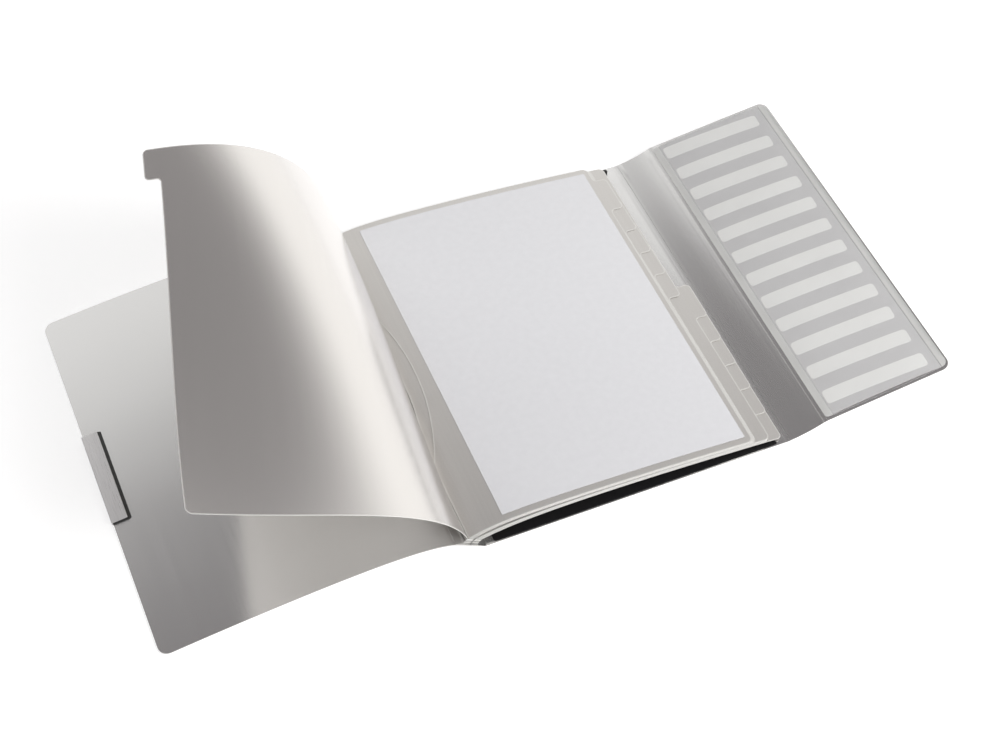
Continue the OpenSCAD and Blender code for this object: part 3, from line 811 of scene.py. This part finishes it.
def makeFlap():
    a, b = book["creaseHalf"], flap["width"]
    columns = [a + s for s in pressColumns[1:]] + spaced(b, 10)[1:]
    mesh = sheetMesh("flapPanel", panelOutline(a, b, halfH, book["creaseCorner"], flap["corner"]),
                     columns, evenRows(halfH, 10), book["sheet"], book["bevel"],
                     place=flapSpot, relief=creaseRelief(flapPress, a))
    newPiece("flapPanel", mesh, coverPearl, "flap", ["flap_panel"])


# living hinges: thin webs that bend between two panels

hingeWeb = {"thick": 0.42, "overlap": 0.5, "bevel": 0.08}


def makeWeb(name, crease, before, after):
    # before and after are unit directions in X-Z that run through the crease
    reach = book["creaseHalf"] + hingeWeb["overlap"]
    a, c, b = crease - reach * before, crease, crease + reach * after

    def place(u, v, w):
        t = (u / reach / 2)[:, None]
        spot = a * (1 - t) ** 2 + 2 * t * (1 - t) * c + b * t ** 2
        run = (1 - t) * (c - a) + t * (b - c)
        run /= np.linalg.norm(run, axis=1, keepdims=True)
        return np.column_stack((spot[:, 0] - w * run[:, 1], v, spot[:, 1] + w * run[:, 0]))
    mesh = sheetMesh(name, panelOutline(0, 2 * reach, halfH, 0, 0), spaced(2 * reach, 8)[1:-1],
                     evenRows(halfH, 6), hingeWeb["thick"], hingeWeb["bevel"], place=place)
    web = newPiece(name, mesh, coverPearl, None, [])
    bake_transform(web)


makeBackCover()
makeSpine()
makeFrontCover()
makeEdgeStrip()
makeFlap()
frontSlope = math.degrees(math.atan((frontShape["foreZ"] - frontCrease[1]) / book["frontWidth"]
                                    + frontShape["arch"] / frontShape["spring"]))
stripCrease = np.array((spineX + book["backWidth"], midZ))
stripLow, stripHigh = slopeDir(edgeStrip["lift"]), slopeDir(edgeStrip["lift"] + edgeStrip["bend"])
makeWeb("backCreaseWeb", backCrease, -spineDir, slopeDir(0))
makeWeb("frontCreaseWeb", frontCrease, slopeDir(frontSlope) * (1, -1), -spineDir)
makeWeb("stripCreaseWeb", stripCrease, slopeDir(0), stripLow)
makeWeb("flapCreaseWeb", flapCrease, stripHigh, slopeDir(flap["tilt"]))
print("covers made")


# black liner

liner = {"sideGap": 8, "endGap": 1, "thick": 0.3, "corner": 2, "recess": 10, "slope": 17, "bevel": 0.08}


def makeLinerSheet():
    a, b = liner["sideGap"], book["backWidth"] - liner["sideGap"]
    h, r = halfH - liner["endGap"], liner["corner"]
    z = book["sheet"] + liner["thick"] / 2
    cut, slope = b - liner["recess"], liner["slope"]
    # its fore-edge is cut back between the two corners
    outline = roundedOutline([(a, -h, r), (b, -h, r), (cut, slope - h, r), (cut, h - slope, r),
                              (b, h, r), (a, h, r)])
    mesh = sheetMesh("backLiner", outline, spaced(b, 10), evenRows(h, 10), liner["thick"], liner["bevel"],
                     place=lambda u, v, w: np.column_stack((spineX + u, v, z + w)))
    newPiece("backLiner", mesh, linerBlack, "back", ["back_liner"])


makeLinerSheet()
print("liner made")


# divider leaves

leaf = {"width": 240, "tab": 12, "thick": 0.4, "endGap": 4, "corner": 5, "tabCorner": 4, "root": 3,
        "moon": (126, 6), "moonTop": (172, 18), "moonSteps": 28,  # length and depth; the top one is leaf 2's
        "pitch": 1.2, "first": 4, "groupGap": 1.2, "stand": 3,  # along and above the spine
        "foreZ": 2.8, "forePitch": 0.8, "groupStep": 1.2, "count": 12, "lastUpper": 6,
        "upperExtra": 4, "lowerInset": 4, "tabLap": 10,
        "lowerRise": 10, "lowerSpring": 30, "upperRise": 10.6, "upperSpring": 18,
        "bevel": 0.1, "lip": 1.1, "columns": 40, "crowding": 1.5, "rows": 14}
leafH = book["height"] - 2 * leaf["endGap"]
tabH = leafH / leaf["count"]


def boundEdge(k):
    # x and z of a leaf's bound edge, a step up the spine for each leaf
    s = leaf["first"] + (leaf["count"] - k) * leaf["pitch"]
    s += leaf["groupGap"] if k <= leaf["lastUpper"] else 0
    return backCrease + s * spineDir + leaf["stand"] * spineNormal


def leafWidth(k):
    # the lower group is trimmed flush just short of the edge strip
    if k > leaf["lastUpper"]:
        return spineX + book["backWidth"] - leaf["lowerInset"] - leaf["tab"] - boundEdge(k)[0]
    return leaf["width"] + (leaf["upperExtra"] if k > 1 else 0)


def leafRun(k):
    return leafWidth(k) + leaf["tab"]


def leafShape(k):
    # the sprung line of a leaf in the stack
    edge = boundEdge(k)
    group = "upper" if k <= leaf["lastUpper"] else "lower"
    foreZ = leaf["foreZ"] + (leaf["count"] - k) * leaf["forePitch"]
    foreZ += leaf["groupStep"] if group == "upper" else 0
    return {"x": edge[0], "z": edge[1], "foreZ": foreZ, "run": leafRun(k),
            "rise": leaf[group + "Rise"], "spring": leaf[group + "Spring"]}


def leafOutline(k):
    # plan from the bound edge, with its tab and half-moon, v from the middle of the page
    w, full, h = leafWidth(k), leafRun(k), leafH / 2
    r, tabR, root = leaf["corner"], leaf["tabCorner"], leaf["root"]
    low, high = h - k * tabH, h - (k - 1) * tabH + leaf["tabLap"]
    corners = [(0, -h, 0)]
    corners += [(full, -h, tabR)] if k == leaf["count"] else [(w, -h, r), (w, low, root), (full, low, tabR)]
    corners += [(full, h, tabR)] if k == 1 else [(full, high, tabR), (w, high, root), (w, h, r)]
    corners += [(0, h, 0)]
    length, deep = leaf["moonTop" if k == 2 else "moon"]
    chord = length / 2
    radius = (chord ** 2 + deep ** 2) / (2 * deep)
    spread = math.asin(chord / radius)
    arc = [spread * (1 - 2 * i / leaf["moonSteps"]) for i in range(leaf["moonSteps"] + 1)]
    corners += [(radius * math.cos(a) - radius + deep, radius * math.sin(a), 0) for a in arc]
    return roundedOutline(corners)


def makeStackedLeaf(k):
    name = "dividerLeaf%02d" % k
    flat = sheetMesh(name + "Flat", leafOutline(k), spaced(leafRun(k), leaf["columns"], leaf["crowding"]),
                     evenRows(leafH / 2, leaf["rows"]), leaf["thick"], leaf["bevel"],
                     lip=leaf["lip"], mattSide=1)
    mesh = sprungMesh(name, flat, leafShape(k), dividerPearl)
    newPiece(name, mesh, None, "leaf_%02d" % k, ["divider_leaf_%02d" % k])


for k in range(2, leaf["count"] + 1):
    makeStackedLeaf(k)
print("stacked leaves made")


# the turned leaf: its section curls over, more at the far end of the page

curl = {"start": (110, 74, 75), "turn": (51, 95, 93),  # degrees at the near end, middle and far end
        "ease": (3.6, 1.4), "drift": (27, -10),  # near and far; the drift in mm
        "steps": 48, "columns": 56, "crowding": 1.15, "rows": 30}
shutGap = {"turn": 130, "slope": 5.7, "rise": 6.12, "keep": 0.01}  # its place in the shut book: degrees, mm


def throughThree(values, row):
    # a parabola through the values at the near end, middle and far end
    near, middle, far = values
    return near + row * (far - near) + (4 * middle - 2 * near - 2 * far) * row * (1 - row)


def curlSlope(share, row):
    ease = curl["ease"][0] + row * (curl["ease"][1] - curl["ease"][0])
    bend = 1 - (1 - np.minimum(share, 1)) ** ease
    return np.radians(throughThree(curl["start"], row) + throughThree(curl["turn"], row) * bend)


def curlSpot(u, v, w):
    # the mean of the slopes from the bound edge to a point gives where it lies
    row = (v + leafH / 2) / leafH
    steps = (np.arange(curl["steps"]) + 0.5) / curl["steps"]
    share = u / leafRun(1)
    slopes = curlSlope(np.outer(share, steps), row[:, None])
    edge = boundEdge(1)
    lean = curlSlope(share, row)
    x = edge[0] + u * np.cos(slopes).mean(axis=1) + w * np.sin(lean)
    z = edge[1] + u * np.sin(slopes).mean(axis=1) - w * np.cos(lean)
    drift = curl["drift"][0] + row * (curl["drift"][1] - curl["drift"][0])
    return np.column_stack((x, v + drift * share ** 2, z))


def makeTurnedLeaf():
    mesh = sheetMesh("dividerLeaf01", leafOutline(1), spaced(leafRun(1), curl["columns"], curl["crowding"]),
                     evenRows(leafH / 2, curl["rows"]), leaf["thick"], leaf["bevel"],
                     place=curlSpot, lip=leaf["lip"], mattSide=-1)
    mesh.flip_normals()
    piece = newPiece("dividerLeaf01", mesh, dividerPearl, "leaf_01", ["divider_leaf_01"])
    # its slope and place in the shut book, in the gap between the cover and leaf 2; then it gets a mesh of
    # its own
    turn = math.radians(shutGap["turn"] + shutGap["slope"])
    across = (math.sin(turn), 0, -math.cos(turn))
    x, z = boundEdge(1) - shutGap["rise"] * np.array((across[0], across[2]))
    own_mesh(piece)


makeTurnedLeaf()
print("turned leaf made")


# loose sheet on leaf 2

paper = {"width": 210, "length": 297, "thick": 0.15, "gap": 29, "play": 0.2, "bevel": 0.03}


def makePaper():
    a, b, h = paper["gap"], paper["gap"] + paper["width"], paper["length"] / 2
    flat = sheetMesh("documentFlat", panelOutline(a, b, h, 0, 0),
                     [a + s for s in spaced(paper["width"], 36)[1:-1]], evenRows(h, 14),
                     paper["thick"], paper["bevel"])
    lift = leaf["thick"] / 2 + paper["play"] + paper["thick"] / 2
    mesh = sprungMesh("documentSheet", flat, leafShape(2), glossPaper, lift=lift)
    newPiece("documentSheet", mesh, None, "sheet", ["document_sheet"])


makePaper()
print("loose sheet made")


# index pocket on the flap: film, card and title bars

pocket = {"sideGap": 1.5, "endGap": 3, "weld": 2, "bow": 2.2, "power": 3, "play": 0.1,
          "film": 0.25, "filmCorners": (3, 6), "filmBevel": 0.06, "weldColumns": (0.7, 1.4, 2, 2.8),
          "label": 0.08,
          "card": 0.25, "cardGap": 4.5, "cardCorner": 1, "cardBevel": 0.05}
filmSpan = flap["width"] - 2 * pocket["sideGap"] - 2 * pocket["weld"]
cardLeft = pocket["sideGap"] + pocket["weld"] + pocket["cardGap"]
cardWidth = filmSpan - 2 * pocket["cardGap"]
cardDrop = pocket["film"] / 2 + pocket["play"] + pocket["label"] + pocket["card"] / 2
titleBars = {"count": 12, "pitch": 25.75, "length": 90, "height": 13, "corner": 3, "bevel": 0.02,
             "centre": 54.3, "shift": 1.0, "slant": -2.5}  # mm and degrees


def filmHeight(u):
    # the film bows up between its welds
    side = np.minimum(np.abs(2 * (u - pocket["sideGap"] - pocket["weld"]) / filmSpan - 1), 1)
    return midZ + pocket["film"] / 2 + pocket["bow"] * (1 - side ** pocket["power"])


def makeFilmSheet():
    a, b, h = pocket["sideGap"], flap["width"] - pocket["sideGap"], halfH - pocket["endGap"]
    columns = [a + s for s in pocket["weldColumns"]]
    columns += [a + pocket["weld"] + s for s in spaced(filmSpan, 28)[1:-1]]
    columns += [b - s for s in pocket["weldColumns"][::-1]]
    mesh = sheetMesh("pocketFilm", panelOutline(a, b, h, *pocket["filmCorners"]), columns, evenRows(h, 12),
                     pocket["film"], pocket["filmBevel"],
                     place=lambda u, v, w: flapSpot(u, v, filmHeight(u) + w))
    newPiece("pocketFilm", mesh, clearFilm, "flap", ["pocket_film"])


def makeCard():
    a, b, h = cardLeft, cardLeft + cardWidth, halfH - pocket["endGap"]
    mesh = sheetMesh("indexCard", panelOutline(a, b, h, pocket["cardCorner"], pocket["cardCorner"]),
                     [a + s for s in spaced(cardWidth, 28)[1:-1]], evenRows(h, 12),
                     pocket["card"], pocket["cardBevel"],
                     place=lambda u, v, w: flapSpot(u, v, filmHeight(u) - cardDrop + w))
    newPiece("indexCard", mesh, cardGrey, "card", ["index_card"])


def makeTitleTree():
    # one bar repeated up the card and bowed with it
    sizes = ["Pitch", "Centre", "Shift", "Slant", "Weld Edge", "Span", "Bow", "Base"]
    tree, given = newTree("titleBars", {"Geometry": "Geometry", "Count": "Int",
                                        **dict.fromkeys(sizes, "Float"), "Finish": "Material"},
                          {"Geometry": "Geometry"})
    gaps = addNode(tree, "ShaderNodeMath", {0: given["Count"], 1: 1.0}, operation="SUBTRACT")
    allWay = addNode(tree, "ShaderNodeMath", {0: gaps, 1: given["Pitch"]}, operation="MULTIPLY")
    first = addNode(tree, "ShaderNodeMath", {0: allWay, 1: -0.5, 2: given["Shift"]}, operation="MULTIPLY_ADD")
    start = addNode(tree, "ShaderNodeCombineXYZ", {"X": given["Centre"], "Y": first})
    step = addNode(tree, "ShaderNodeCombineXYZ", {"Y": given["Pitch"]})
    line = addNode(tree, "GeometryNodeMeshLine",
                   {"Count": given["Count"], "Start Location": start, "Offset": step})
    turn = addNode(tree, "ShaderNodeCombineXYZ", {"Z": given["Slant"]})
    bars = addNode(tree, "GeometryNodeInstanceOnPoints",
                   {"Points": line, "Instance": given["Geometry"], "Rotation": turn})
    whole = addNode(tree, "GeometryNodeRealizeInstances", {0: bars})
    spot = addNode(tree, "ShaderNodeSeparateXYZ", {0: addNode(tree, "GeometryNodeInputPosition")})
    along = addNode(tree, "ShaderNodeMath", {0: spot.outputs["X"], 1: given["Weld Edge"]},
                    operation="SUBTRACT")
    share = addNode(tree, "ShaderNodeMath", {0: along, 1: given["Span"]}, operation="DIVIDE")
    side = addNode(tree, "ShaderNodeMath", {0: share, 1: 2.0, 2: -1.0}, operation="MULTIPLY_ADD")
    side = addNode(tree, "ShaderNodeMath", {0: side}, operation="ABSOLUTE")
    side = addNode(tree, "ShaderNodeMath", {0: side, 1: pocket["power"]}, operation="POWER")
    hump = addNode(tree, "ShaderNodeMath", {0: 1.0, 1: side}, operation="SUBTRACT")
    lift = addNode(tree, "ShaderNodeMath", {0: hump, 1: given["Bow"], 2: given["Base"]},
                   operation="MULTIPLY_ADD")
    up = addNode(tree, "ShaderNodeCombineXYZ", {"Z": lift})
    bowed = addNode(tree, "GeometryNodeSetPosition", {"Geometry": whole, "Offset": up})
    finish = addNode(tree, "GeometryNodeSetMaterial", {"Geometry": bowed, "Material": given["Finish"]})
    addNode(tree, "NodeGroupOutput", {"Geometry": finish})
    return tree


def makeTitleBars():
    l, h, r = titleBars["length"] / 2, titleBars["height"] / 2, titleBars["corner"]
    bar = sheetMesh("titleBar", panelOutline(-l, l, h, r, r), evenRows(l, 12), [-h / 3, h / 3],
                    pocket["label"], titleBars["bevel"])
    base = midZ - pocket["play"] - pocket["label"] / 2  # just under the film
    values = {"Count": titleBars["count"], "Pitch": titleBars["pitch"] * mm,
              "Centre": titleBars["centre"] * mm, "Shift": titleBars["shift"] * mm,
              "Slant": math.radians(titleBars["slant"]),
              "Weld Edge": (pocket["sideGap"] + pocket["weld"]) * mm, "Span": filmSpan * mm,
              "Bow": pocket["bow"] * mm, "Base": base * mm, "Finish": labelWhite}
    mesh = grownMesh("titleBars", bar, makeTitleTree(), values)
    flat = np.zeros(len(mesh.vertices) * 3)
    mesh.vertices.foreach_get("co", flat)
    u, v, w = (flat.reshape(-1, 3) / mm).T
    mesh.vertices.foreach_set("co", (flapSpot(u, v, w) * mm).ravel())
    mesh.update()
    newPiece("titleBars", mesh, None, "card", ["title_labels"])


makeFilmSheet()
makeCard()
makeTitleBars()
print("index pocket made")


# bars: an X-Z profile run along Y with broken ends

barLook = {"broken": 0.25, "sections": 12, "sharp": 32}  # mm, count, degrees


def barMesh(name, profile, half, place, broken=barLook["broken"]):
    # profile goes anticlockwise seen from -Y, points (a, b) in mm; the ends are chamfered
    ring = np.array([tuple(p) for p in profile])
    inner = ring + inwardOf(ring) * broken
    start, straight, count = broken - half, 2 * half - 2 * broken, barLook["sections"]
    stations = [(-half, inner), (start, ring)]
    stations += [(start + straight * k / count, ring) for k in range(1, count)]
    stations += [(half - broken, ring), (half, inner)]
    n = len(ring)
    spots = np.vstack([np.column_stack((section[:, 0], np.full(n, y), section[:, 1]))
                       for y, section in stations])
    faces = [list(range(n))]
    for s in range(len(stations) - 1):
        faces += [(s * n + k, (s + 1) * n + k, (s + 1) * n + (k + 1) % n, s * n + (k + 1) % n)
                  for k in range(n)]
    faces.append(list(range(len(spots) - 1, len(spots) - n - 1, -1)))
    mesh = bpy.data.meshes.new(name)
    mesh.from_pydata((place(*spots.T) * mm).tolist(), [], faces)
    # painted highlight: the end faces are marked as pale cut edge
    ends = np.zeros(len(spots))
    ends[:n] = ends[-n:] = 1
    dressMesh(mesh, ends, spots[:, :2])
    mesh.set_sharp_from_angle(angle=math.radians(barLook["sharp"]))
    return mesh


# arcStep in degrees, the rest in mm; bedRounds: front foot, bevelled foot and bevel's top
clasp = {"length": 82, "width": 12, "thick": 0.8, "leg": 7, "base": 2, "bevel": 2.7, "play": 0.1,
         "bend": 0.9, "innerBend": 0.27, "edge": 0.3, "arcStep": 18,
         "bedInset": 0.05, "bedPlay": 0.02, "bedRounds": (0.2, 0.1, 0.4)}
foreSlope = math.atan(frontCrease[1] / book["frontWidth"]
                      + frontShape["arch"] * sprungEase * math.pi / 2 / book["frontWidth"])
claspSpot = leaningSpot((frontCrease[0] - book["frontWidth"], frontShape["foreZ"]),
                        (math.cos(foreSlope), math.sin(foreSlope)))


def makeClasp():
    t, top, leg, width = clasp["thick"], midZ + clasp["base"], clasp["leg"], clasp["width"]
    lip, drop = t + clasp["play"], midZ + clasp["play"] + t
    edge, bend, inner = clasp["edge"], clasp["bend"], clasp["innerBend"]
    profile = roundedOutline([(leg, -drop, edge), (leg, -drop + t, edge), (-clasp["play"], -drop + t, inner),
                              (-clasp["play"], top, inner), (width, top, edge), (width, top + t, edge),
                              (-lip, top + t, bend), (-lip, -drop, bend)], clasp["arcStep"])
    mesh = barMesh("claspPlate", profile, clasp["length"] / 2, claspSpot)
    newPiece("claspPlate", mesh, claspMetal, "front", ["clasp_plate"])
    # painted shade: the bed's bevel shows past the plate's inner edge and at its ends, drawn near black for
    # the shade there
    foot, roof, start = midZ + clasp["play"], top - clasp["bedPlay"], clasp["bedInset"]
    front, thin, shoulder = clasp["bedRounds"]
    bed = roundedOutline([(start, foot, front), (width + clasp["bevel"], foot, thin),
                          (width, roof, shoulder), (start, roof, front)], clasp["arcStep"])
    mesh = barMesh("claspBed", bed, clasp["length"] / 2, claspSpot)
    newPiece("claspBed", mesh, claspShadeBlack, "front", ["clasp_base"])


binding = {"bead": 0.5, "head": 0.3, "foot": 0.4, "play": 0.4, "boundPlay": 0.15, "broken": 0.15,
           "beadRound": 0.45, "rootRound": 0.05, "round": 0.25, "arcStep": 18}


def makeBinding(name, first, last, node):
    # a strip with a round head, lying along the spine under the leaves' bound edges
    def alongSpine(k):
        return (boundEdge(k) - backCrease) @ spineDir
    head, foot = alongSpine(first) + binding["head"], alongSpine(last) - binding["foot"]
    low = midZ + binding["play"]
    high = leaf["stand"] - leaf["thick"] / 2 - binding["boundPlay"]
    bead, tip = low + 2 * binding["bead"], head + binding["bead"]
    r, beadR = binding["round"], binding["beadRound"]
    profile = roundedOutline([(foot, low, r), (tip, low, beadR), (tip, bead, beadR),
                              (head, bead, binding["rootRound"]), (head, high, r), (foot, high, r)],
                             binding["arcStep"])
    mesh = barMesh(name, profile, leafH / 2, spineSpot, binding["broken"])
    mesh.flip_normals()
    newPiece(name, mesh, bindingPearl, node, [node])


makeClasp()
makeBinding("upperBinding", 1, leaf["lastUpper"], "upper_binding")
makeBinding("lowerBinding", leaf["lastUpper"] + 1, leaf["count"], "lower_binding")
print("clasp and bindings made")
